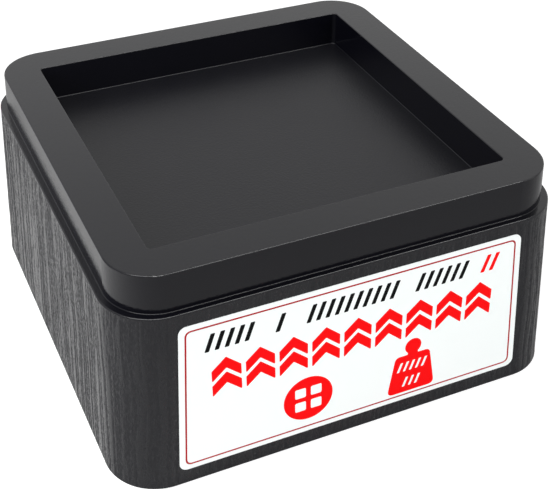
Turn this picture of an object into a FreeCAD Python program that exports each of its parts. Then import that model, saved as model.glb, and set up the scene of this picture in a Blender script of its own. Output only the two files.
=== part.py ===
import FreeCAD, Part
import math
import os

# Bed riser
#
# A square block that lifts one leg of a bed or sofa by three inches. It is a
# single moulding in black plastic: a tapered body, a lower, narrower rim that
# stands on it, and a square recess in the rim that holds the furniture leg.
# Underneath, the body is a hollow shell stiffened by a grid of ribs, and its
# mouth is a socket that drops over the rim of another riser, so that risers
# stack. A printed label is stuck to the front.
#
# The frame: millimetres, +Z up, the origin at the centre of the base. The
# front, with the label, faces -Y.

# Heights
seat_height = 76.2            # three inches, from the floor to the leg's seat
leg_recess_depth = 15.1       # from the seat up to the top of the rim
rim_height = 15.1             # the rim, above the ledge that runs round it

# The recess for the leg
leg_size = 139.7              # five and a half inches, the widest leg it takes
leg_clearance = 0.8           # total play of that leg on the seat
recess_draft = 0.5            # degrees
recess_corner_radius = 1.6    # at the seat
recess_edge_round = 0.4
recess_floor_fillet = 0.3

# The outside
rim_width = 15.6              # at its top, from above the seat's edge to its outer side
rim_corner_radius = 17.9      # at the top of the rim, from where its corners widen as cones
rim_edge_round = 0.5
rim_foot_fillet = 0.2
ledge_width = 2.6
ledge_edge_round = 0.5
body_corner_radius = 20.6     # the same from the ledge to the floor
base_edge_chamfer = 0.5
outer_draft = 3.2             # degrees, on the body and on the rim alike

# The socket underneath, which drops over another riser's rim
stack_side_clearance = 0.5    # on each side of that rim
stack_seat_lift = 0.3         # the ribs land on that rim this much before its ledge is met
socket_mouth_chamfer = 0.8

# Walls
socket_step = 0.4             # the side wall is this much thicker above the socket
recess_wall = 3.6
seat_thickness = 4.0
rim_roof = 4.0

# Ribs
cells_across = 9
rib_tip = 2.2                 # thickness of a rib at its lower edge
rib_draft = 0.5               # degrees, on each side

# The label, by the bare front that shows around it, measured on the slope
label_side_gap = 21.6         # to the left and right sides, which it follows as they lean in
label_foot_gap = 6.9          # to the floor
label_top_gap = 5.4           # to the ledge
label_corner_radius = 3.2
label_thickness = 0.2


def lean(height, draft):
    """How far a wall with this draft, in degrees, leans over this height."""
    return height * math.tan(math.radians(draft))


# Levels
total_height = seat_height + leg_recess_depth
ledge_height = total_height - rim_height
socket_roof = rim_height - stack_seat_lift
casing_floor = seat_height - seat_thickness
cavity_roof = total_height - rim_roof

# Half widths
seat_half = (leg_size + leg_clearance) / 2
rim_top_half = seat_half + rim_width
rim_foot_half = rim_top_half + lean(rim_height, outer_draft)
ledge_half = rim_foot_half + ledge_width
base_half = ledge_half + lean(ledge_height, outer_draft)
socket_roof_half = rim_top_half + stack_side_clearance
cavity_foot_half = socket_roof_half - socket_step


def rounded_square(half, radius, height):
    """A level closed wire: a square with round corners."""
    quarter = math.pi / 2
    arcs = []
    for turn, (sx, sy) in enumerate([(1, 1), (-1, 1), (-1, -1), (1, -1)]):
        centre = FreeCAD.Vector(sx * (half - radius), sy * (half - radius), height)
        circle = Part.Circle(centre, FreeCAD.Vector(0, 0, 1), radius)
        arcs.append(Part.ArcOfCircle(circle, turn * quarter, (turn + 1) * quarter))
    edges = []
    for arc, following in zip(arcs, arcs[1:] + arcs[:1]):
        edges.append(arc.toShape())
        edges.append(Part.LineSegment(arc.EndPoint, following.StartPoint).toShape())
    return Part.Wire(edges)


def block(foot_half, foot_radius, low, high, draft):
    """A square block whose sides lean in towards its top. Its corners are cones.

    A negative draft makes it widen upwards."""
    inset = lean(high - low, draft)
    foot = rounded_square(foot_half, foot_radius, low)
    top = rounded_square(foot_half - inset, foot_radius - inset, high)
    return Part.makeLoft([foot, top], True, True)


def frustum(x_span, y_span, low, high, draft):
    """A block with sharp upright edges whose four sides lean in towards its top."""
    inset = lean(high - low, draft)
    wedge = Part.makeWedge(
        x_span[0], low, y_span[0], y_span[0] + inset, x_span[0] + inset,
        x_span[1], high, y_span[1], y_span[1] - inset, x_span[1] - inset,
    )
    # A wedge narrows along Y, so it is stood up. That swaps front and back, which changes
    # nothing in the body or in the grid of cells, as both are symmetrical.
    wedge.rotate(FreeCAD.Vector(), FreeCAD.Vector(1, 0, 0), 90)
    return wedge


def level_edges(shape, height, within=None):
    """The edges that lie level at this height, all of them or those within a half width."""
    slack = 0.01
    found = []
    for edge in shape.Edges:
        box = edge.BoundBox
        if abs(box.ZMin - height) > slack or abs(box.ZMax - height) > slack:
            continue
        reach = max(abs(box.XMin), abs(box.XMax), abs(box.YMin), abs(box.YMax))
        if within is None or reach < within:
            found.append(edge)
    return found


def outer_form():
    """The body with the rim on it, solid, with the edges that the hand meets rounded."""
    base_span = (-base_half, base_half)
    body = frustum(base_span, base_span, 0, ledge_height, outer_draft)
    upright = [edge for edge in body.Edges if edge.BoundBox.ZLength > ledge_height / 2]
    body = body.makeFillet(body_corner_radius, upright)
    body = body.makeFillet(ledge_edge_round, level_edges(body, ledge_height))
    body = body.makeChamfer(base_edge_chamfer, level_edges(body, 0))
    foot_radius = rim_corner_radius + lean(rim_height, outer_draft)
    rim = block(rim_foot_half, foot_radius, ledge_height, total_height, outer_draft)
    rim = rim.makeFillet(rim_edge_round, level_edges(rim, total_height))
    form = body.fuse(rim)
    foot = level_edges(form, ledge_height, rim_foot_half + ledge_width / 4)
    return form.makeFillet(rim_foot_fillet, foot)


def leg_recess():
    """The space that the furniture leg stands in, open at the top."""
    over = 1.0
    space = block(
        seat_half, recess_corner_radius, seat_height, total_height + over, -recess_draft
    )
    return space.makeFillet(recess_floor_fillet, level_edges(space, seat_height))


def recess_casing():
    """The recess with its walls and the seat below it, which the hollow goes round."""
    foot_half = seat_half + recess_wall
    foot_radius = recess_corner_radius + recess_wall
    return block(foot_half, foot_radius, casing_floor, total_height, -recess_draft)


def stacking_socket():
    """The space that another riser's rim fills, open at the bottom."""
    under = 1.0
    spread = stack_side_clearance + lean(socket_roof + under, outer_draft)
    return block(
        rim_top_half + spread, rim_corner_radius + spread, -under, socket_roof, outer_draft
    )


def cells():
    """All the spaces between the ribs, from the socket up to the roof of the hollow."""
    pitch = 2 * cavity_foot_half / cells_across
    rib_lines = [(count - cells_across / 2) * pitch for count in range(1, cells_across)]
    half_rib = rib_tip / 2
    # The outermost cells run on past the side walls, which close them.
    starts = [-base_half] + [line + half_rib for line in rib_lines]
    stops = [line - half_rib for line in rib_lines] + [base_half]
    spans = list(zip(starts, stops))
    grid = [
        frustum(x_span, y_span, socket_roof, cavity_roof, rib_draft)
        for x_span in spans
        for y_span in spans
    ]
    cavity_radius = rim_corner_radius + stack_side_clearance - socket_step
    cavity = block(cavity_foot_half, cavity_radius, socket_roof, cavity_roof, outer_draft)
    cavity = cavity.cut(recess_casing())
    return cavity.common(Part.makeCompound(grid))


def riser_body():
    """The moulding, in one piece."""
    form = outer_form().cut(leg_recess())
    mouth = level_edges(form, total_height, seat_half + recess_wall)
    form = form.makeFillet(recess_edge_round, mouth)
    form = form.cut(stacking_socket())
    mouth_half = rim_foot_half + 2 * stack_side_clearance + socket_mouth_chamfer
    form = form.makeChamfer(socket_mouth_chamfer, level_edges(form, 0, mouth_half))
    return form.cut(cells())


def front_label():
    """The label: a thin sheet with round corners, flat on the leaning front side."""
    slope = math.radians(outer_draft)
    foot = label_foot_gap
    top = ledge_height / math.cos(slope) - label_top_gap
    foot_half = base_half - foot * math.sin(slope) - label_side_gap
    top_half = base_half - top * math.sin(slope) - label_side_gap
    corners = [
        FreeCAD.Vector(-foot_half, foot, 0),
        FreeCAD.Vector(foot_half, foot, 0),
        FreeCAD.Vector(top_half, top, 0),
        FreeCAD.Vector(-top_half, top, 0),
    ]
    outline = Part.makePolygon(corners + corners[:1])
    sheet = Part.Face(outline).extrude(FreeCAD.Vector(0, 0, label_thickness))
    across = [edge for edge in sheet.Edges if edge.BoundBox.ZLength > label_thickness / 2]
    sheet = sheet.makeFillet(label_corner_radius, across)
    # It was drawn lying down, and now leans back with the front side, its foot on the floor line.
    sheet.rotate(FreeCAD.Vector(), FreeCAD.Vector(1, 0, 0), 90 - outer_draft)
    sheet.translate(FreeCAD.Vector(0, -base_half, 0))
    return sheet


os.makedirs("parts", exist_ok=True)
pieces = {"riser_body": riser_body(), "front_label": front_label()}
for name, shape in pieces.items():
    solid = shape.Solids[0]
    print(name, "valid", shape.isValid(), "solids", len(shape.Solids), "volume", round(solid.Volume, 1))
    solid.exportStep(f"parts/{name}.step")
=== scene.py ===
# %% [markdown]
# # A bed riser, dressed for the camera
#
# A bed riser is a plastic block that stands under the leg of a bed or sofa and lifts it. This one
# is a single moulding: a tapered body, a lower rim on top of it, a square recess in the rim for
# the leg, and a hollow, ribbed underside that drops over the rim of another riser.
#
# The solids come from a CAD model, which is opened here as a fixed frame. Blender adds what a
# solid can't show: the wood grain of the mould, the satin plastic, the printed film of the label,
# a floor, soft light and a camera. Lengths are in metres, apart from the print on the label, which
# is drawn in millimetres. Every piece is built where it belongs.

# %% Open the frame
import math

import bpy
import numpy as np
from mathutils import Matrix, Vector


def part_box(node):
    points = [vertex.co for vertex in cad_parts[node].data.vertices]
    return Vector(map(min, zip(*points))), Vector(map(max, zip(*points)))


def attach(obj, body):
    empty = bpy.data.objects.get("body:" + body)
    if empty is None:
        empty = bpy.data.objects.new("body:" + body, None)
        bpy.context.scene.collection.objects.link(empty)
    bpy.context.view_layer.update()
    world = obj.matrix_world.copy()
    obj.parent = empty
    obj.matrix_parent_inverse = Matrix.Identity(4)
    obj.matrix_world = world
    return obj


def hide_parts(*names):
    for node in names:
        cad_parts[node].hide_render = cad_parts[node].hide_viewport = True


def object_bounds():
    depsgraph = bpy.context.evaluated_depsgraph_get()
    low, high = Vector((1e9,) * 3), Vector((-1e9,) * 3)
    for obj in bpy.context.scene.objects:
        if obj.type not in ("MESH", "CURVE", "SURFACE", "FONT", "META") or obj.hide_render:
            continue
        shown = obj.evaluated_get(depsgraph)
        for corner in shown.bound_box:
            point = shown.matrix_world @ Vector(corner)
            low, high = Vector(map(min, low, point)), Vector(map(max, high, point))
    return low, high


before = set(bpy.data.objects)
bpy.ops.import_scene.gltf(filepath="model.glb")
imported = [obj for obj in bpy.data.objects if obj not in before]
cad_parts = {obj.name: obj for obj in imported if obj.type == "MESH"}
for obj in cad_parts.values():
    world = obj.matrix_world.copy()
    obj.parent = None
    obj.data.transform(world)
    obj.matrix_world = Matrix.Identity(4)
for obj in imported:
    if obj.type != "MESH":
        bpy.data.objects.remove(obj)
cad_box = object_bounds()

MM = 0.001
print("pieces in the frame:", ", ".join(sorted(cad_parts)))
print("size in mm:", [round(size / MM, 1) for size in cad_box[1] - cad_box[0]])

# %% [markdown]
# ## The camera
#
# The photograph was taken from in front, a little to the left and well above. The camera stands
# where the edges of the block run to the same places as in the photograph: less than half a metre
# away, which is why the near corner looks so much bigger than the far ones. It is turned by three
# angles, in radians: round the upright axis, down towards the block, and a touch of roll.

# %% Place the camera
CAMERA_PLACE = Vector((-154.357, -355.076, 310.341)) * MM
HEADING = 0.42925
LOOK_DOWN = 0.63503
ROLL = 0.00944
IMAGE_WIDTH = 550
FOCAL_PIXELS = 1103.07
SENSOR_MM = 36.0


def aim(heading, down, roll):
    """The camera's turn, as a matrix, from the three angles."""
    forward = Vector((
        math.sin(heading) * math.cos(down), math.cos(heading) * math.cos(down), -math.sin(down)
    ))
    level_right = Vector((math.cos(heading), -math.sin(heading), 0))
    level_up = level_right.cross(forward)
    right = math.cos(roll) * level_right + math.sin(roll) * level_up
    up = math.cos(roll) * level_up - math.sin(roll) * level_right
    return Matrix((right, up, -forward)).transposed()


camera_data = bpy.data.cameras.new("camera")
camera_data.sensor_width = SENSOR_MM
camera_data.lens = FOCAL_PIXELS / IMAGE_WIDTH * SENSOR_MM
camera_data.clip_start = 10 * MM
camera = bpy.data.objects.new("camera", camera_data)
camera.matrix_world = Matrix.Translation(CAMERA_PLACE) @ aim(HEADING, LOOK_DOWN, ROLL).to_4x4()
bpy.context.scene.collection.objects.link(camera)
bpy.context.scene.camera = camera
print("lens in mm:", round(camera_data.lens, 1))

# %% [markdown]
# ## Helpers for materials
#
# Colours are easiest to read as the hex values of a paint program, which are sRGB. A renderer
# adds up light, so it needs them linear, and one function turns the one into the other. A material
# is a tree of nodes, and a second function adds a node with all its settings and links at once.

# %% Colour and node helpers
def linear(hex_colour):
    """A hex sRGB colour as linear red, green and blue, with an alpha of 1."""
    shares = [int(hex_colour[start:start + 2], 16) / 255 for start in (1, 3, 5)]
    return [
        share / 12.92 if share <= 0.04045 else ((share + 0.055) / 1.055) ** 2.4
        for share in shares
    ] + [1.0]


def add(tree, kind, settings=None, inputs=None):
    """Adds a node. The inputs are numbers, colours, or other nodes' outputs to link."""
    node = tree.nodes.new(kind)
    for name, value in (settings or {}).items():
        setattr(node, name, value)
    for name, value in (inputs or {}).items():
        if isinstance(value, bpy.types.NodeSocket):
            tree.links.new(value, node.inputs[name])
        else:
            node.inputs[name].default_value = value
    return node


# A Mix node has sockets for numbers, vectors and colours under the same names. These are the
# places of its factor, its two colours and the mixed colour.
MIX_FACTOR, MIX_FIRST, MIX_SECOND, MIXED = 0, 6, 7, 2


def new_material(name):
    """An empty material with its output node."""
    material = bpy.data.materials.new(name)
    material.use_nodes = True
    material.node_tree.nodes.clear()
    return material, add(material.node_tree, "ShaderNodeOutputMaterial")


print("mid grey, linear:", [round(share, 3) for share in linear("#808080")])

# %% [markdown]
# ## Black moulded polypropylene
#
# Risers are injection moulded in polypropylene with carbon black in it. Hardly any light comes
# back out of so black a plastic, so what the eye sees is its skin, which mirrors the room: weakly
# when it is looked at straight on, and strongly at a low angle. That is why the side that is seen
# at the lowest angle looks grey. The mould's own finish makes the reflections soft: it is a fine
# satin on the rim, and coarser and duller on the seat for the leg.
#
# Polypropylene bends light with an index of 1.49. A textured face mirrors a little less than a
# polished one, so the satin and the matt skin are matched to the photograph somewhat below that.
#
# The grit of such a mould is too fine for the picture. It is drawn a little under a millimetre
# wide, as a noise pattern that is used as a bump, and makes the mirrored edges waver as they do on
# a textured skin. A much wider pattern shifts the colour and the roughness by a little, as the
# flow in the mould and handling do.

# %% Satin and matt black plastic
PLASTIC_BLACK = "#06060C"
PLASTIC_BLACK_LIGHT = "#0A0A10"
SATIN_IOR = 1.42
SATIN_ROUGHNESS = 0.13
SATIN_GRIT_DEPTH = 0.05 * MM
MATT_IOR = 1.37
MATT_ROUGHNESS = 0.4
MATT_GRIT_DEPTH = 0.09 * MM
GRIT_WIDTH = 0.9 * MM
FLOW_WIDTH = 30 * MM
# How far the flow shifts the roughness, to either side.
FLOW_SHIFT = 0.02
# Nearly all of a noise pattern lies between these two values.
NOISE_LOW, NOISE_HIGH = 0.3, 0.7


def moulded_plastic(name, roughness, ior, grit_depth):
    """Black polypropylene with the skin that the mould gives it."""
    material, output = new_material(name)
    tree = material.node_tree
    place = add(tree, "ShaderNodeTexCoord").outputs["Object"]
    flow = add(tree, "ShaderNodeTexNoise", inputs={
        "Vector": place, "Scale": 1 / FLOW_WIDTH, "Detail": 3.0,
    })
    tone = add(tree, "ShaderNodeMix", {"data_type": "RGBA"}, {
        MIX_FACTOR: flow.outputs["Fac"],
        MIX_FIRST: linear(PLASTIC_BLACK), MIX_SECOND: linear(PLASTIC_BLACK_LIGHT),
    })
    sheen = add(tree, "ShaderNodeMapRange", inputs={
        "Value": flow.outputs["Fac"], "From Min": NOISE_LOW, "From Max": NOISE_HIGH,
        "To Min": roughness - FLOW_SHIFT, "To Max": roughness + FLOW_SHIFT,
    })
    texture = add(tree, "ShaderNodeTexNoise", inputs={
        "Vector": place, "Scale": 1 / GRIT_WIDTH, "Detail": 2.0,
    })
    bump = add(tree, "ShaderNodeBump", inputs={
        "Strength": 1.0, "Distance": grit_depth, "Height": texture.outputs["Fac"],
    })
    skin = add(tree, "ShaderNodeBsdfPrincipled", inputs={
        "Base Color": tone.outputs[MIXED], "Roughness": sheen.outputs["Result"],
        "IOR": ior, "Normal": bump.outputs["Normal"],
    })
    tree.links.new(skin.outputs["BSDF"], output.inputs["Surface"])
    return material


satin_plastic = moulded_plastic(
    "polypropylene_satin", SATIN_ROUGHNESS, SATIN_IOR, SATIN_GRIT_DEPTH
)
matt_plastic = moulded_plastic("polypropylene_matt", MATT_ROUGHNESS, MATT_IOR, MATT_GRIT_DEPTH)
print("materials:", satin_plastic.name, matt_plastic.name)

# %% [markdown]
# ## The grained sides
#
# The four sides carry an upright wood grain that was etched into the mould. Its fibres are real
# relief here, made further down, and the mesh keeps under the name "grain" how deep each point
# lies. The material reads that and adds fibres that are too fine for the mesh: noise stretched
# upwards, several times longer than it is wide. Where the grain is deep the plastic is dull, and
# on the ridges it shines. Seen at a low angle, that is most of what the eye takes for wood.

# %% Wood-grained black plastic
FINE_FIBRE_WIDTH = 0.45 * MM
FINE_FIBRE_LENGTH = 1.6 * MM
RIDGE_ROUGHNESS = 0.05
PORE_ROUGHNESS = 0.62
FINE_FIBRE_SHARE = 0.85
GRAINED_IOR = 1.5
FINE_FIBRE_DEPTH = 0.08 * MM


def grained_plastic(name):
    """Black polypropylene with fine upright fibres, shiny on the ridges and dull in the pores,
    whose colour is a touch darker as painted shade.
    """
    material, output = new_material(name)
    tree = material.node_tree
    place = add(tree, "ShaderNodeTexCoord").outputs["Object"]
    stretched = add(tree, "ShaderNodeMapping", inputs={
        "Vector": place,
        "Scale": (1 / FINE_FIBRE_WIDTH, 1 / FINE_FIBRE_WIDTH, 1 / FINE_FIBRE_LENGTH),
    })
    fibres = add(tree, "ShaderNodeTexNoise", inputs={
        "Vector": stretched.outputs["Vector"], "Scale": 1.0, "Detail": 3.0, "Roughness": 0.6,
    })
    relief = add(tree, "ShaderNodeAttribute", {"attribute_name": "grain"})
    fibre_part = add(tree, "ShaderNodeMapRange", inputs={
        "Value": fibres.outputs["Fac"], "From Min": NOISE_LOW, "From Max": NOISE_HIGH,
        "To Min": -FINE_FIBRE_SHARE, "To Max": FINE_FIBRE_SHARE,
    })
    depth = add(tree, "ShaderNodeMath", {"operation": "ADD", "use_clamp": True}, {
        0: relief.outputs["Fac"], 1: fibre_part.outputs["Result"],
    })
    dullness = add(tree, "ShaderNodeMapRange", inputs={
        "Value": depth.outputs["Value"], "To Min": RIDGE_ROUGHNESS, "To Max": PORE_ROUGHNESS,
    })
    bump = add(tree, "ShaderNodeBump", inputs={
        "Strength": 1.0, "Distance": FINE_FIBRE_DEPTH, "Height": fibres.outputs["Fac"],
    })
    # Painted shade: the colour is a touch darker where the grain is deep and lighter on the
    # ridges, standing in for the shade in the pores.
    tone = add(tree, "ShaderNodeMix", {"data_type": "RGBA"}, {
        MIX_FACTOR: depth.outputs["Value"],
        MIX_FIRST: linear(PLASTIC_BLACK_LIGHT), MIX_SECOND: linear(PLASTIC_BLACK),
    })
    skin = add(tree, "ShaderNodeBsdfPrincipled", inputs={
        "Base Color": tone.outputs[MIXED], "Roughness": dullness.outputs["Result"],
        "IOR": GRAINED_IOR, "Normal": bump.outputs["Normal"],
    })
    tree.links.new(skin.outputs["BSDF"], output.inputs["Surface"])
    return material


grained_skin = grained_plastic("polypropylene_wood_grained")
print("material:", grained_skin.name)

# %% [markdown]
# ## Walking round the sides
#
# A place on the sides is given by how far round it is, measured from the left end of the front,
# and how high. Each corner is part of a round bar that leans in along with the sides. A level cut
# through a leaning bar is a little longer across the corner than a circle would be.
#
# The width comes from the frame. The foot of the sides is chamfered, so the flat sides would be a
# little wider still if they ran on down to the floor.

# %% Round the outline
DRAFT = math.radians(3.2)
FOOT_CHAMFER = 0.5 * MM
SIDE_HALF_AT_FLOOR = cad_box[1].x + FOOT_CHAMFER * math.sin(DRAFT)
CORNER_RADIUS = 20.6 * MM
CORNER_LEAN = 2 * math.tan(DRAFT) ** 2
MIDDLE_HEIGHT = 38 * MM


def corner_axis(height):
    """How far from the middle of the block, in x and in y alike, the corner's axis stands."""
    return SIDE_HALF_AT_FLOOR - height * math.tan(DRAFT) - CORNER_RADIUS / math.cos(DRAFT)


FLAT = 2 * corner_axis(MIDDLE_HEIGHT)
QUARTER = FLAT + CORNER_RADIUS * math.pi / 2
ROUND = 4 * QUARTER


def outline(distance, height):
    """Points on the sides and the directions they face, for arrays of places."""
    quarter = np.floor(distance / QUARTER)
    along = distance - quarter * QUARTER
    turn = np.clip(along - FLAT, 0, None) / CORNER_RADIUS
    longer = CORNER_LEAN / (1 + CORNER_LEAN) * np.cos(turn - math.pi / 4) ** 2
    radius, axis = CORNER_RADIUS / np.sqrt(1 - longer), corner_axis(height)
    across = (2 * np.minimum(along / FLAT, 1) - 1) * axis + radius * np.sin(turn)
    out = -axis - radius * np.cos(turn)
    spin = quarter * math.pi / 2
    x = across * np.cos(spin) - out * np.sin(spin)
    y = across * np.sin(spin) + out * np.cos(spin)
    heading = spin + turn - math.pi / 2
    tilt = math.tan(DRAFT) * (np.sin(turn) + np.cos(turn))
    facing = np.stack([np.cos(heading), np.sin(heading), tilt], -1)
    return np.stack([x, y, height], -1), facing / np.linalg.norm(facing, axis=-1, keepdims=True)


def distance_round(spots):
    """How far round each spot lies, the inverse of outline."""
    x, y = spots[:, 0], spots[:, 1]
    axis = corner_axis(spots[:, 2])
    angle = np.arctan2(y, x)
    quarter = np.floor((angle + 3 * math.pi / 4) / (math.pi / 2)) % 4
    spin = -quarter * math.pi / 2
    across = x * np.cos(spin) - y * np.sin(spin)
    out = x * np.sin(spin) + y * np.cos(spin)
    right = np.arctan2(across - axis, -axis - out)
    left = np.arctan2(-across - axis, -axis - out)
    along = (np.clip(across / axis, -1, 1) + 1) / 2 * FLAT
    along = along + np.clip(right, 0, None) * CORNER_RADIUS
    along = along - np.clip(left, 0, None) * CORNER_RADIUS
    return (quarter * QUARTER + along) % ROUND


print("once round the sides, in mm:", round(ROUND / MM, 1))

# %% [markdown]
# ## Finding the sides in the CAD mesh
#
# The grain is cut into the sides, so the mesh of the moulding has to be finer there. The CAD
# node itself is never changed. Its points and faces are read, the long triangles of the four
# sides and their round corners are left out, and a finely divided wall takes their place. A
# triangle belongs to the sides if all three of its points lie on their outline.
#
# The CAD mesh holds each point once for every surface that meets there. Points that lie together
# are joined first, so that the new mesh is closed, and the direction that each surface faces is
# kept, so that the fillets shade as smoothly as in the CAD model.

# %% Read the moulding
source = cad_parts["riser_body"].data
points = np.empty(len(source.vertices) * 3)
source.vertices.foreach_get("co", points)
points = points.reshape(-1, 3)
corners = np.empty(len(source.loops), int)
source.loops.foreach_get("vertex_index", corners)
facings = np.empty(len(source.loops) * 3)
source.corner_normals.foreach_get("vector", facings)
facings = facings.reshape(-1, 3, 3)

JOIN_WITHIN = 0.0002 * MM
_, first, joined = np.unique(
    np.round(points / JOIN_WITHIN).astype(np.int64), axis=0, return_index=True, return_inverse=True
)
points = points[first]
triangles = joined.reshape(-1)[corners].reshape(-1, 3)

ON_OUTLINE_WITHIN = 0.001 * MM
nearest, _ = outline(distance_round(points), points[:, 2])
on_outline = np.linalg.norm(nearest - points, axis=1) < ON_OUTLINE_WITHIN
is_side = on_outline[triangles].all(axis=1)
rims = np.intersect1d(triangles[is_side], triangles[~is_side])
foot_rim = rims[points[rims, 2] < MIDDLE_HEIGHT]
top_rim = rims[points[rims, 2] > MIDDLE_HEIGHT]
side_foot = points[foot_rim, 2].max()
side_top = points[top_rim, 2].min()
print("triangles:", len(triangles), "of which on the sides:", int(is_side.sum()))
print("the sides run from", round(side_foot / MM, 2), "to", round(side_top / MM, 2), "mm")

# %% [markdown]
# ## The wood grain
#
# Grain in a mould is random but ordered: streaks just under a millimetre wide that run nearly the
# whole way up a side, fibres about a centimetre long and short pores, and all of them wander a
# little to the left and right together. Each kind is smooth random noise on a lattice whose cells
# are as wide and as long as the kind is. The three are added and their contrast is raised, so that
# most places are clearly either ridge or pore. The relief is only cut inwards, and it fades out at
# the top and bottom edges, so the sides keep their size.

# %% Grain relief
GRAIN_DEPTH = 0.18 * MM
GRAIN_FADE = 1.2 * MM
DRIFT_WIDTH, DRIFT_LENGTH, DRIFT_REACH = 14 * MM, 26 * MM, 1.0 * MM
STREAK_WIDTH, STREAK_LENGTH, STREAK_SHARE = 0.87 * MM, 60 * MM, 0.55
FIBRE_WIDTH, FIBRE_LENGTH, FIBRE_SHARE = 0.7 * MM, 12 * MM, 0.2
PORE_WIDTH, PORE_LENGTH, PORE_SHARE = 0.7 * MM, 3.0 * MM, 0.25
GRAIN_CONTRAST = 3.3
GRAIN_SEED = 7
rng = np.random.RandomState(GRAIN_SEED)


def lattice_noise(distance, height, width, length):
    """Smooth noise from 0 to 1 that closes round the outline. Its cells are width by length."""
    cells = round(ROUND / width)
    # The lattice starts half a cell below the foot and has rows to spare above the top.
    floors = math.ceil((side_top - side_foot) / length) + 2
    lattice = rng.random_sample((floors + 1, cells))
    u = distance / ROUND * cells
    v = (height - side_foot) / length + 0.5
    column, floor = np.floor(u).astype(int), np.floor(v).astype(int)
    u, v = u - column, v - floor
    u, v = u * u * (3 - 2 * u), v * v * (3 - 2 * v)
    column, beside = column % cells, (column + 1) % cells
    lower = lattice[floor, column] * (1 - u) + lattice[floor, beside] * u
    upper = lattice[floor + 1, column] * (1 - u) + lattice[floor + 1, beside] * u
    return lower * (1 - v) + upper * v


def grain(distance, height):
    """How deep the grain is at each place, from 0 on a ridge to 1 in the deepest pore."""
    drift = (lattice_noise(distance, height, DRIFT_WIDTH, DRIFT_LENGTH) - 0.5) * 2 * DRIFT_REACH
    wander = distance + drift
    streaks = lattice_noise(wander, height, STREAK_WIDTH, STREAK_LENGTH)
    fibres = lattice_noise(wander, height, FIBRE_WIDTH, FIBRE_LENGTH)
    pores = lattice_noise(wander, height, PORE_WIDTH, PORE_LENGTH)
    mixed = STREAK_SHARE * streaks + FIBRE_SHARE * fibres + PORE_SHARE * pores
    return np.clip(0.5 + GRAIN_CONTRAST * (mixed - 0.5), 0, 1)


print("streaks round the sides:", round(ROUND / STREAK_WIDTH))

# %% A finely divided wall
COLUMNS = 2000
EDGE_STRIP = 0.3 * MM
COURSES = 45
columns = np.arange(COLUMNS) * ROUND / COLUMNS
courses = np.linspace(side_foot + EDGE_STRIP, side_top - EDGE_STRIP, COURSES)
distance, height = np.meshgrid(columns, courses)
wall, facing = outline(distance, height)
relief = grain(distance, height)
fade = np.clip(np.minimum(height - side_foot, side_top - height) / GRAIN_FADE, 0, 1)
depths = GRAIN_DEPTH * relief * fade * fade * (3 - 2 * fade)
# The lowest and highest rows stay on the true side, where the wall is joined to the moulding.
depths[0] = depths[-1] = 0
wall = wall - facing * depths[..., None]

across = np.roll(wall, -1, axis=1) - np.roll(wall, 1, axis=1)
upward = np.gradient(wall, axis=0)
wall_facing = np.cross(across, upward)
wall_facing /= np.linalg.norm(wall_facing, axis=-1, keepdims=True)
print("wall points:", wall[..., 0].size, "deepest grain in mm:", round(depths.max() / MM, 3))

# %% [markdown]
# ## Joining the wall to the moulding
#
# Where the old triangles were taken out, the mesh is open along two loops, one round the foot of
# the sides and one round their top. Each loop has few points on the flats, and the new wall has
# many. A strip of triangles zips the two together: at each step it moves on along whichever edge
# has the nearer next point. The strip lies on the true side, so it can't be seen.

# %% Zip two loops together
def in_order(rim):
    """The points of a rim in order round the outline, and how far round each lies."""
    places = distance_round(points[rim])
    order = np.argsort(places)
    return rim[order], places[order]


def zip_loops(lower, lower_places, upper, upper_places):
    """Triangles between two closed loops of point numbers, both in order round the outline."""
    low_next = np.append(lower_places[1:], lower_places[0] + ROUND)
    up_next = np.append(upper_places[1:], upper_places[0] + ROUND)
    strip = []
    i = j = 0
    while i < len(lower) or j < len(upper):
        a, b = lower[i % len(lower)], upper[j % len(upper)]
        if j >= len(upper) or (i < len(lower) and low_next[i] <= up_next[j]):
            strip.append((a, lower[(i + 1) % len(lower)], b))
            i += 1
        else:
            strip.append((a, upper[(j + 1) % len(upper)], b))
            j += 1
    return np.array(strip)


first_wall = len(points)
wall_index = first_wall + np.arange(wall[..., 0].size).reshape(COURSES, COLUMNS)
foot_loop, foot_places = in_order(foot_rim)
top_loop, top_places = in_order(top_rim)
strips = np.concatenate([
    zip_loops(foot_loop, foot_places, wall_index[0], columns),
    zip_loops(wall_index[-1], columns, top_loop, top_places),
])
print("open loops:", len(foot_loop), "and", len(top_loop), "points; strips:", len(strips))

# %% The moulding, with its grain
kept = triangles[~is_side]
kept_facings = facings[~is_side].reshape(-1, 3)
beside = np.roll(wall_index, -1, axis=1)
quads = np.stack([wall_index[:-1], beside[:-1], beside[1:], wall_index[1:]], -1).reshape(-1, 4)

all_points = np.concatenate([points, wall.reshape(-1, 3)])
_, true_facing = outline(distance_round(all_points), all_points[:, 2])
grain_facing = wall_facing.reshape(-1, 3)

mesh = bpy.data.meshes.new("moulding")
mesh.from_pydata(all_points.tolist(), [], kept.tolist() + strips.tolist() + quads.tolist())
mesh.normals_split_custom_set(np.concatenate([
    kept_facings, true_facing[strips.reshape(-1)], grain_facing[quads.reshape(-1) - first_wall],
]).tolist())

# The points of the CAD mesh have no relief. Where the grained skin reaches them it is middling.
MIDDLING = 0.5
grain_values = np.concatenate([np.full(len(points), MIDDLING), relief.reshape(-1)])
grain_store = mesh.attributes.new("grain", "FLOAT", "POINT")
grain_store.data.foreach_set("value", grain_values)

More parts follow.
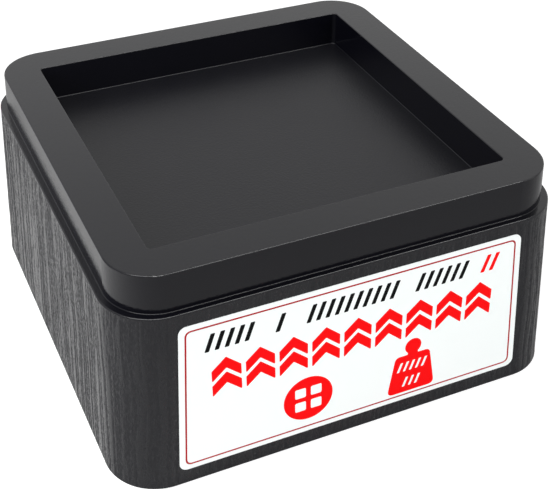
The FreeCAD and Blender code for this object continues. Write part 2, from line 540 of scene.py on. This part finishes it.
SATIN, MATT, GRAINED = 0, 1, 2
for material in (satin_plastic, matt_plastic, grained_skin):
    mesh.materials.append(material)
SEAT_HEIGHT = 76.2 * MM
SEAT_HALF = 70.25 * MM
SEAT_FILLET = 0.3 * MM
middles = all_points[kept].mean(axis=1)
on_seat = (np.abs(middles[:, 2] - SEAT_HEIGHT) < SEAT_FILLET) & (
    np.abs(middles[:, :2]).max(axis=1) < SEAT_HALF
)
skins = np.full(len(mesh.polygons), GRAINED)
skins[:len(kept)] = np.where(on_seat, MATT, SATIN)
mesh.polygons.foreach_set("material_index", skins)
mesh.update()
moulding = bpy.data.objects.new("grained_moulding", mesh)
bpy.context.scene.collection.objects.link(moulding)
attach(moulding, "root")
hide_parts("riser_body")
print("faces:", len(mesh.polygons), "as triangles:", len(kept) + len(strips) + 2 * len(quads))

# %% [markdown]
# ## The label film
#
# The label is white polypropylene film with a clear gloss on top, cut with round corners and
# stuck to the front. It is bright and even. Its gloss is a little uneven, because a thin film
# follows what it is stuck to. The inks are matt and mirror far less than the film, so they are
# given a lower index of refraction, and keep their full colour.

# %% White film and three inks
FILM_WHITE = "#FAFFFE"
INK_RED = "#FB0206"
BORDER_RED = "#A80E18"
INK_BLACK = "#040404"
FILM_IOR = 1.5
FILM_ROUGHNESS = 0.3
INK_IOR = 1.2
INK_ROUGHNESS = 0.5
WAVE_WIDTH = 7 * MM
WAVE_DEPTH = 0.02 * MM
WAVE_STRENGTH = 0.3
# How far the waves shift the roughness, to either side.
WAVE_SHIFT = 0.03


def smooth_film(name, hex_colour, roughness, ior):
    """A printed or plain film: one colour under a gloss that waves a little."""
    material, output = new_material(name)
    tree = material.node_tree
    place = add(tree, "ShaderNodeTexCoord").outputs["Object"]
    wave = add(tree, "ShaderNodeTexNoise", inputs={
        "Vector": place, "Scale": 1 / WAVE_WIDTH, "Detail": 1.0,
    })
    bump = add(tree, "ShaderNodeBump", inputs={
        "Strength": WAVE_STRENGTH, "Distance": WAVE_DEPTH, "Height": wave.outputs["Fac"],
    })
    sheen = add(tree, "ShaderNodeMapRange", inputs={
        "Value": wave.outputs["Fac"],
        "To Min": roughness - WAVE_SHIFT, "To Max": roughness + WAVE_SHIFT,
    })
    skin = add(tree, "ShaderNodeBsdfPrincipled", inputs={
        "Base Color": linear(hex_colour), "Roughness": sheen.outputs["Result"],
        "IOR": ior, "Normal": bump.outputs["Normal"],
    })
    tree.links.new(skin.outputs["BSDF"], output.inputs["Surface"])
    return material


white_film = smooth_film("white_gloss_film", FILM_WHITE, FILM_ROUGHNESS, FILM_IOR)
red_ink = smooth_film("red_ink_on_film", INK_RED, INK_ROUGHNESS, INK_IOR)
dark_red_ink = smooth_film("dark_red_ink_on_film", BORDER_RED, INK_ROUGHNESS, INK_IOR)
black_ink = smooth_film("black_ink_on_film", INK_BLACK, INK_ROUGHNESS, INK_IOR)
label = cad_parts["front_label"]
label.material_slots[0].material = white_film
print("materials:", white_film.name, red_ink.name, dark_red_ink.name, black_ink.name)

# %% [markdown]
# ## The print
#
# Print is drawn on the flat label in millimetres, across from its middle and up from its lower
# edge, and then laid on the leaning front. Each mark is a filled two-dimensional curve: an outline
# inside another is a hole, and a little extrusion gives the ink a body, of which half is sunk in
# the film. Round ends are worked out from a radius, and have enough steps to look smooth from
# close by.

# %% The flat label, and how it lies on the front
LABEL_THICKNESS = 0.2 * MM
label_low, label_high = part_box("front_label")
# The lowest point is at the back of the leaning sheet. Its printed side starts a little higher.
label_foot = label_low.z + LABEL_THICKNESS * math.sin(DRAFT)
LABEL_HALF_FOOT = label_high.x / MM
LABEL_HEIGHT = (label_high.z - label_foot) / math.cos(DRAFT) / MM
back, up = MM * math.sin(DRAFT), MM * math.cos(DRAFT)
on_label = Matrix((
    (MM, 0, 0, 0),
    (0, back, -up, label_low.y),
    (0, up, back, label_foot),
    (0, 0, 0, 1),
))
print("label in mm:", round(2 * LABEL_HALF_FOOT, 1), "by", round(LABEL_HEIGHT, 1))

# %% Outlines
CORNER_STEPS = 6
CIRCLE_STEPS = 72


def rounded(outline_points, radius):
    """The outline with each of its corners rounded."""
    result = []
    count = len(outline_points)
    for number, corner in enumerate(outline_points):
        corner = Vector(corner)
        before = Vector(outline_points[number - 1]) - corner
        after = Vector(outline_points[(number + 1) % count]) - corner
        half_angle = before.angle(after) / 2
        reach = min(radius / math.tan(half_angle), before.length / 2, after.length / 2)
        start, end = corner + before.normalized() * reach, corner + after.normalized() * reach
        for step in range(CORNER_STEPS + 1):
            t = step / CORNER_STEPS
            result.append(start * (1 - t) ** 2 + corner * 2 * t * (1 - t) + end * t ** 2)
    return result


def box_outline(middle, width, height, radius):
    """A rectangle with round corners."""
    x, y = middle
    w, h = width / 2, height / 2
    return rounded([(x - w, y - h), (x + w, y - h), (x + w, y + h), (x - w, y + h)], radius)


def circle_outline(middle, radius):
    """A circle."""
    return [
        Vector(middle) + radius * Vector((math.cos(turn), math.sin(turn)))
        for turn in np.arange(CIRCLE_STEPS) * 2 * math.pi / CIRCLE_STEPS
    ]


def label_outline(inset, radius):
    """A line that follows the label's edge, this far inside it."""
    lean = math.tan(DRAFT)
    side = inset / math.cos(DRAFT)
    foot, top = inset, LABEL_HEIGHT - inset
    foot_half = LABEL_HALF_FOOT - side - foot * lean
    top_half = LABEL_HALF_FOOT - side - top * lean
    corners = [(-foot_half, foot), (foot_half, foot), (top_half, top), (-top_half, top)]
    return rounded(corners, radius)


print("steps round a corner:", CORNER_STEPS, "and round a circle:", CIRCLE_STEPS)

# %% Ink
INK_PROUD = 0.03
INK_SUNK = 0.03


def printed(name, outlines, material):
    """Ink on the label in the shape of these outlines."""
    drawing = bpy.data.curves.new(name, "CURVE")
    drawing.dimensions = "2D"
    drawing.fill_mode = "BOTH"
    drawing.extrude = (INK_PROUD + INK_SUNK) / 2
    for shape in outlines:
        spline = drawing.splines.new("POLY")
        spline.points.add(len(shape) - 1)
        spline.points.foreach_set("co", [value for spot in shape for value in (*spot, 0, 1)])
        spline.use_cyclic_u = True
    stencil = bpy.data.objects.new(name + "_drawing", drawing)
    bpy.context.scene.collection.objects.link(stencil)
    bpy.context.view_layer.update()
    made = stencil.evaluated_get(bpy.context.evaluated_depsgraph_get())
    ink_mesh = bpy.data.meshes.new_from_object(made)
    bpy.data.objects.remove(stencil)
    ink_mesh.transform(on_label @ Matrix.Translation((0, 0, (INK_PROUD - INK_SUNK) / 2)))
    ink_mesh.materials.clear()
    ink_mesh.materials.append(material)
    ink = bpy.data.objects.new(name, ink_mesh)
    bpy.context.scene.collection.objects.link(ink)
    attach(ink, "root")
    print(name, "faces:", len(ink_mesh.polygons))


print("ink in mm:", INK_PROUD + INK_SUNK)

# %% The border line
BORDER_INSET = 2.05
BORDER_LINE = 0.65
BORDER_OUTER_RADIUS = 2.7
BORDER_INNER_RADIUS = 2.1
printed("label_border", [
    label_outline(BORDER_INSET, BORDER_OUTER_RADIUS),
    label_outline(BORDER_INSET + BORDER_LINE, BORDER_INNER_RADIUS),
], dark_red_ink)

# %% [markdown]
# ## Plain marks
#
# A part for everybody's use carries no name and no claim, so plain marks are printed on its label:
# a row of small slanting strokes with a red end, a row of bold chevrons that point up, a disc with
# four squares, and a weight. Each is as large and as bold as the print on such a label is.

# %% The small row
SMALL_MIDDLE = 54.6
SMALL_HEIGHT = 7.4
SMALL_STROKE = 1.7
SMALL_PITCH = 3.7
SLANT = math.tan(math.radians(20))
STROKE_ROUNDING = 0.2
BLACK_SPANS = [(-59.0, -40.5), (-32.5, -28.8), (-20.5, 16.5), (23.5, 45.7)]
RED_SPANS = [(51.5, 58.9)]


def strokes(spans, middle, height, width, pitch):
    """Slanting strokes, spread evenly from each span's left end to its right end."""
    low, high = middle - height / 2, middle + height / 2
    lean = height / 2 * SLANT
    shapes = []
    for start, end in spans:
        count = max(round((end - start) / pitch), 1)
        for x in start + (end - start) / count * (np.arange(count) + 0.5):
            foot, head = x - lean, x + lean
            shapes.append(rounded([
                (foot - width / 2, low), (foot + width / 2, low),
                (head + width / 2, high), (head - width / 2, high),
            ], width * STROKE_ROUNDING))
    return shapes


printed("label_small_row", strokes(
    BLACK_SPANS, SMALL_MIDDLE, SMALL_HEIGHT, SMALL_STROKE, SMALL_PITCH
), black_ink)
printed("label_small_row_end", strokes(
    RED_SPANS, SMALL_MIDDLE, SMALL_HEIGHT, SMALL_STROKE, SMALL_PITCH
), red_ink)

# %% The bold row
BOLD_MIDDLE = 38.5
BOLD_HEIGHT = 16.4
BOLD_HALF = 57.2
BOLD_COUNT = 9
CHEVRON_WIDTH = 11.2
CHEVRON_THICK = 4.8
CHEVRON_GAP = 1.8
CHEVRON_ROUNDING = 0.4
CHEVRON_RISE = BOLD_HEIGHT - 2 * CHEVRON_THICK - CHEVRON_GAP


def chevron(x, foot):
    """One chevron that points up."""
    half = CHEVRON_WIDTH / 2
    return rounded([
        (x - half, foot), (x, foot + CHEVRON_RISE), (x + half, foot),
        (x + half, foot + CHEVRON_THICK), (x, foot + CHEVRON_RISE + CHEVRON_THICK),
        (x - half, foot + CHEVRON_THICK),
    ], CHEVRON_ROUNDING)


bold_reach = BOLD_HALF - CHEVRON_WIDTH / 2
bold_foot = BOLD_MIDDLE - BOLD_HEIGHT / 2
printed("label_bold_row", [
    chevron(x, foot)
    for x in np.linspace(-bold_reach, bold_reach, BOLD_COUNT)
    for foot in (bold_foot, bold_foot + CHEVRON_THICK + CHEVRON_GAP)
], red_ink)

# %% The disc
DISC_X, DISC_Y = -20.0, 16.0
DISC_RADIUS = 10.0
SQUARE = 4.4
SQUARE_STEP = 3.2
SQUARE_ROUNDING = 0.8
square_middles = [
    (DISC_X + across * SQUARE_STEP, DISC_Y + upward * SQUARE_STEP)
    for across in (-1, 1) for upward in (-1, 1)
]
disc = [circle_outline((DISC_X, DISC_Y), DISC_RADIUS)]
disc += [box_outline(middle, SQUARE, SQUARE, SQUARE_ROUNDING) for middle in square_middles]
printed("label_disc", disc, red_ink)

# %% The weight
WEIGHT_X = 24.0
WEIGHT_FOOT, WEIGHT_SHOULDER = 3.8, 21.9
WEIGHT_FOOT_HALF, WEIGHT_SHOULDER_HALF = 10.4, 7.4
WEIGHT_ROUNDING = 2.4
NECK_HALF = 2.2
NECK_TURN = math.radians(-52)
KNOB_Y = 25.6
KNOB_RADIUS = 3.5
KNOB_STEPS = 40
WEIGHT_STROKE_HEIGHT = 4.4
WEIGHT_STROKE = 1.1
WEIGHT_STROKE_PITCH = 2.64
UPPER_STROKES_Y, UPPER_STROKES_HALF = 16.4, 6.6
LOWER_STROKES_Y, LOWER_STROKES_HALF = 8.8, 4.0
right_of_knob = [
    (WEIGHT_X - WEIGHT_FOOT_HALF, WEIGHT_FOOT), (WEIGHT_X + WEIGHT_FOOT_HALF, WEIGHT_FOOT),
    (WEIGHT_X + WEIGHT_SHOULDER_HALF, WEIGHT_SHOULDER), (WEIGHT_X + NECK_HALF, WEIGHT_SHOULDER),
]
knob = [
    (WEIGHT_X + KNOB_RADIUS * math.cos(turn), KNOB_Y + KNOB_RADIUS * math.sin(turn))
    for turn in np.linspace(NECK_TURN, math.pi - NECK_TURN, KNOB_STEPS)
]
left_of_knob = [
    (WEIGHT_X - NECK_HALF, WEIGHT_SHOULDER), (WEIGHT_X - WEIGHT_SHOULDER_HALF, WEIGHT_SHOULDER),
]
weight = [rounded(right_of_knob + knob + left_of_knob, WEIGHT_ROUNDING)]
for middle, half in (
    (UPPER_STROKES_Y, UPPER_STROKES_HALF), (LOWER_STROKES_Y, LOWER_STROKES_HALF),
):
    weight += strokes(
        [(WEIGHT_X - half, WEIGHT_X + half)], middle,
        WEIGHT_STROKE_HEIGHT, WEIGHT_STROKE, WEIGHT_STROKE_PITCH,
    )
printed("label_weight", weight, red_ink)

# %% [markdown]
# ## Floor, room and light
#
# The block stands on a plain pale floor in a white room, as in a catalogue. Nearly all that shows
# on black plastic is a reflection. The top and the seat mirror the room, which is even and white.
# The upright sides mirror the floor next to them, so the lamps see to that floor: one from above
# lights all of it, and a small one low on the left adds to the floor along the left side, which
# therefore looks lighter than the front. A low lamp in front lights the label. A long one overhead
# is seen only in gloss, and draws the thin light lines along the rounded edges.
#
# The floor and the room are shown whiter to the camera, and to mirror-like rays, than they are as
# a source of light. Light Path says what kind of ray is looking.

# %% The white room
ROOM_LIGHT = 0.55
ROOM_SEEN = 1.0


def seen_rays(tree, camera_share, mirror_share):
    """One number: the first share for camera rays, the second for glossy and glass ones."""
    rays = add(tree, "ShaderNodeLightPath")
    mirrored = add(tree, "ShaderNodeMath", {"operation": "MAXIMUM"}, {
        0: rays.outputs["Is Glossy Ray"], 1: rays.outputs["Is Transmission Ray"],
    })
    weaker = add(tree, "ShaderNodeMath", {"operation": "MULTIPLY"}, {
        0: mirrored.outputs["Value"], 1: mirror_share,
    })
    return add(tree, "ShaderNodeMath", {"operation": "MULTIPLY_ADD"}, {
        0: rays.outputs["Is Camera Ray"], 1: camera_share, 2: weaker.outputs["Value"],
    }).outputs["Value"]


world = bpy.data.worlds.new("white_room")
bpy.context.scene.world = world
world.use_nodes = True
room = world.node_tree
room.nodes.clear()
room_seen = add(room, "ShaderNodeMapRange", inputs={
    "Value": seen_rays(room, camera_share=1.0, mirror_share=1.0),
    "To Min": ROOM_LIGHT, "To Max": ROOM_SEEN,
})
room_light = add(room, "ShaderNodeBackground", inputs={
    "Color": linear("#FFFFFF"), "Strength": room_seen.outputs["Result"],
})
add(room, "ShaderNodeOutputWorld", inputs={"Surface": room_light.outputs["Background"]})
print("room light:", ROOM_LIGHT, "and as it is seen:", ROOM_SEEN)

# %% The floor
FLOOR_WHITE = "#B8B8B8"
FLOOR_SEEN_BY_CAMERA = 0.74
FLOOR_SEEN_IN_MIRRORS = 0.08
FLOOR_HALF = 6.0
floor_material, floor_output = new_material("white_floor")
tree = floor_material.node_tree
floor_diffuse = add(tree, "ShaderNodeBsdfDiffuse", inputs={"Color": linear(FLOOR_WHITE)})
floor_glow = add(tree, "ShaderNodeEmission", inputs={
    "Strength": seen_rays(tree, FLOOR_SEEN_BY_CAMERA, FLOOR_SEEN_IN_MIRRORS),
})
floor_both = add(tree, "ShaderNodeAddShader", inputs={
    0: floor_diffuse.outputs["BSDF"], 1: floor_glow.outputs["Emission"],
})
tree.links.new(floor_both.outputs["Shader"], floor_output.inputs["Surface"])

floor_mesh = bpy.data.meshes.new("floor")
floor_mesh.from_pydata([
    (-FLOOR_HALF, -FLOOR_HALF, 0), (FLOOR_HALF, -FLOOR_HALF, 0),
    (FLOOR_HALF, FLOOR_HALF, 0), (-FLOOR_HALF, FLOOR_HALF, 0),
], [], [(0, 1, 2, 3)])
floor_mesh.materials.append(floor_material)
floor = bpy.data.objects.new("floor", floor_mesh)
bpy.context.scene.collection.objects.link(floor)
print("floor in metres:", 2 * FLOOR_HALF, "each way")

# %% Four soft lamps
def soft_lamp(name, place, target, width, height, power, lights_gloss=True, lights_matt=True):
    """A rectangular lamp that faces its target."""
    lamp_data = bpy.data.lights.new(name, "AREA")
    lamp_data.shape = "RECTANGLE"
    lamp_data.size, lamp_data.size_y = width, height
    lamp_data.energy = power
    lamp = bpy.data.objects.new(name, lamp_data)
    lamp.location = place
    lamp.rotation_euler = (Vector(target) - Vector(place)).to_track_quat("-Z", "Y").to_euler()
    lamp.visible_camera = False
    lamp.visible_glossy = lights_gloss
    lamp.visible_diffuse = lights_matt
    bpy.context.scene.collection.objects.link(lamp)
    print(name, "in watts:", power)


soft_lamp(
    "top_lamp", place=(-0.3, -0.4, 1.5), target=(0, 0, 0),
    width=1.2, height=1.2, power=7.5, lights_gloss=False,
)
soft_lamp(
    "left_lamp", place=(-0.32, -0.02, 0.2), target=(-0.11, -0.01, 0),
    width=0.2, height=0.2, power=1.1, lights_gloss=False,
)
soft_lamp(
    "front_fill", place=(0.3, -1.6, 0.18), target=(0, 0, 0.04),
    width=0.8, height=0.8, power=14.4, lights_gloss=False,
)
soft_lamp(
    "overhead_strip", place=(0, -0.12, 1.1), target=(0, 0, 0.08),
    width=1.6, height=0.25, power=17.0, lights_matt=False,
)

# %% [markdown]
# ## Finish
#
# The view transform is Standard, so that colours render as they are written.

# %% Colours as written, and the last line
bpy.context.scene.view_settings.view_transform = "Standard"
print("view transform:", bpy.context.scene.view_settings.view_transform)
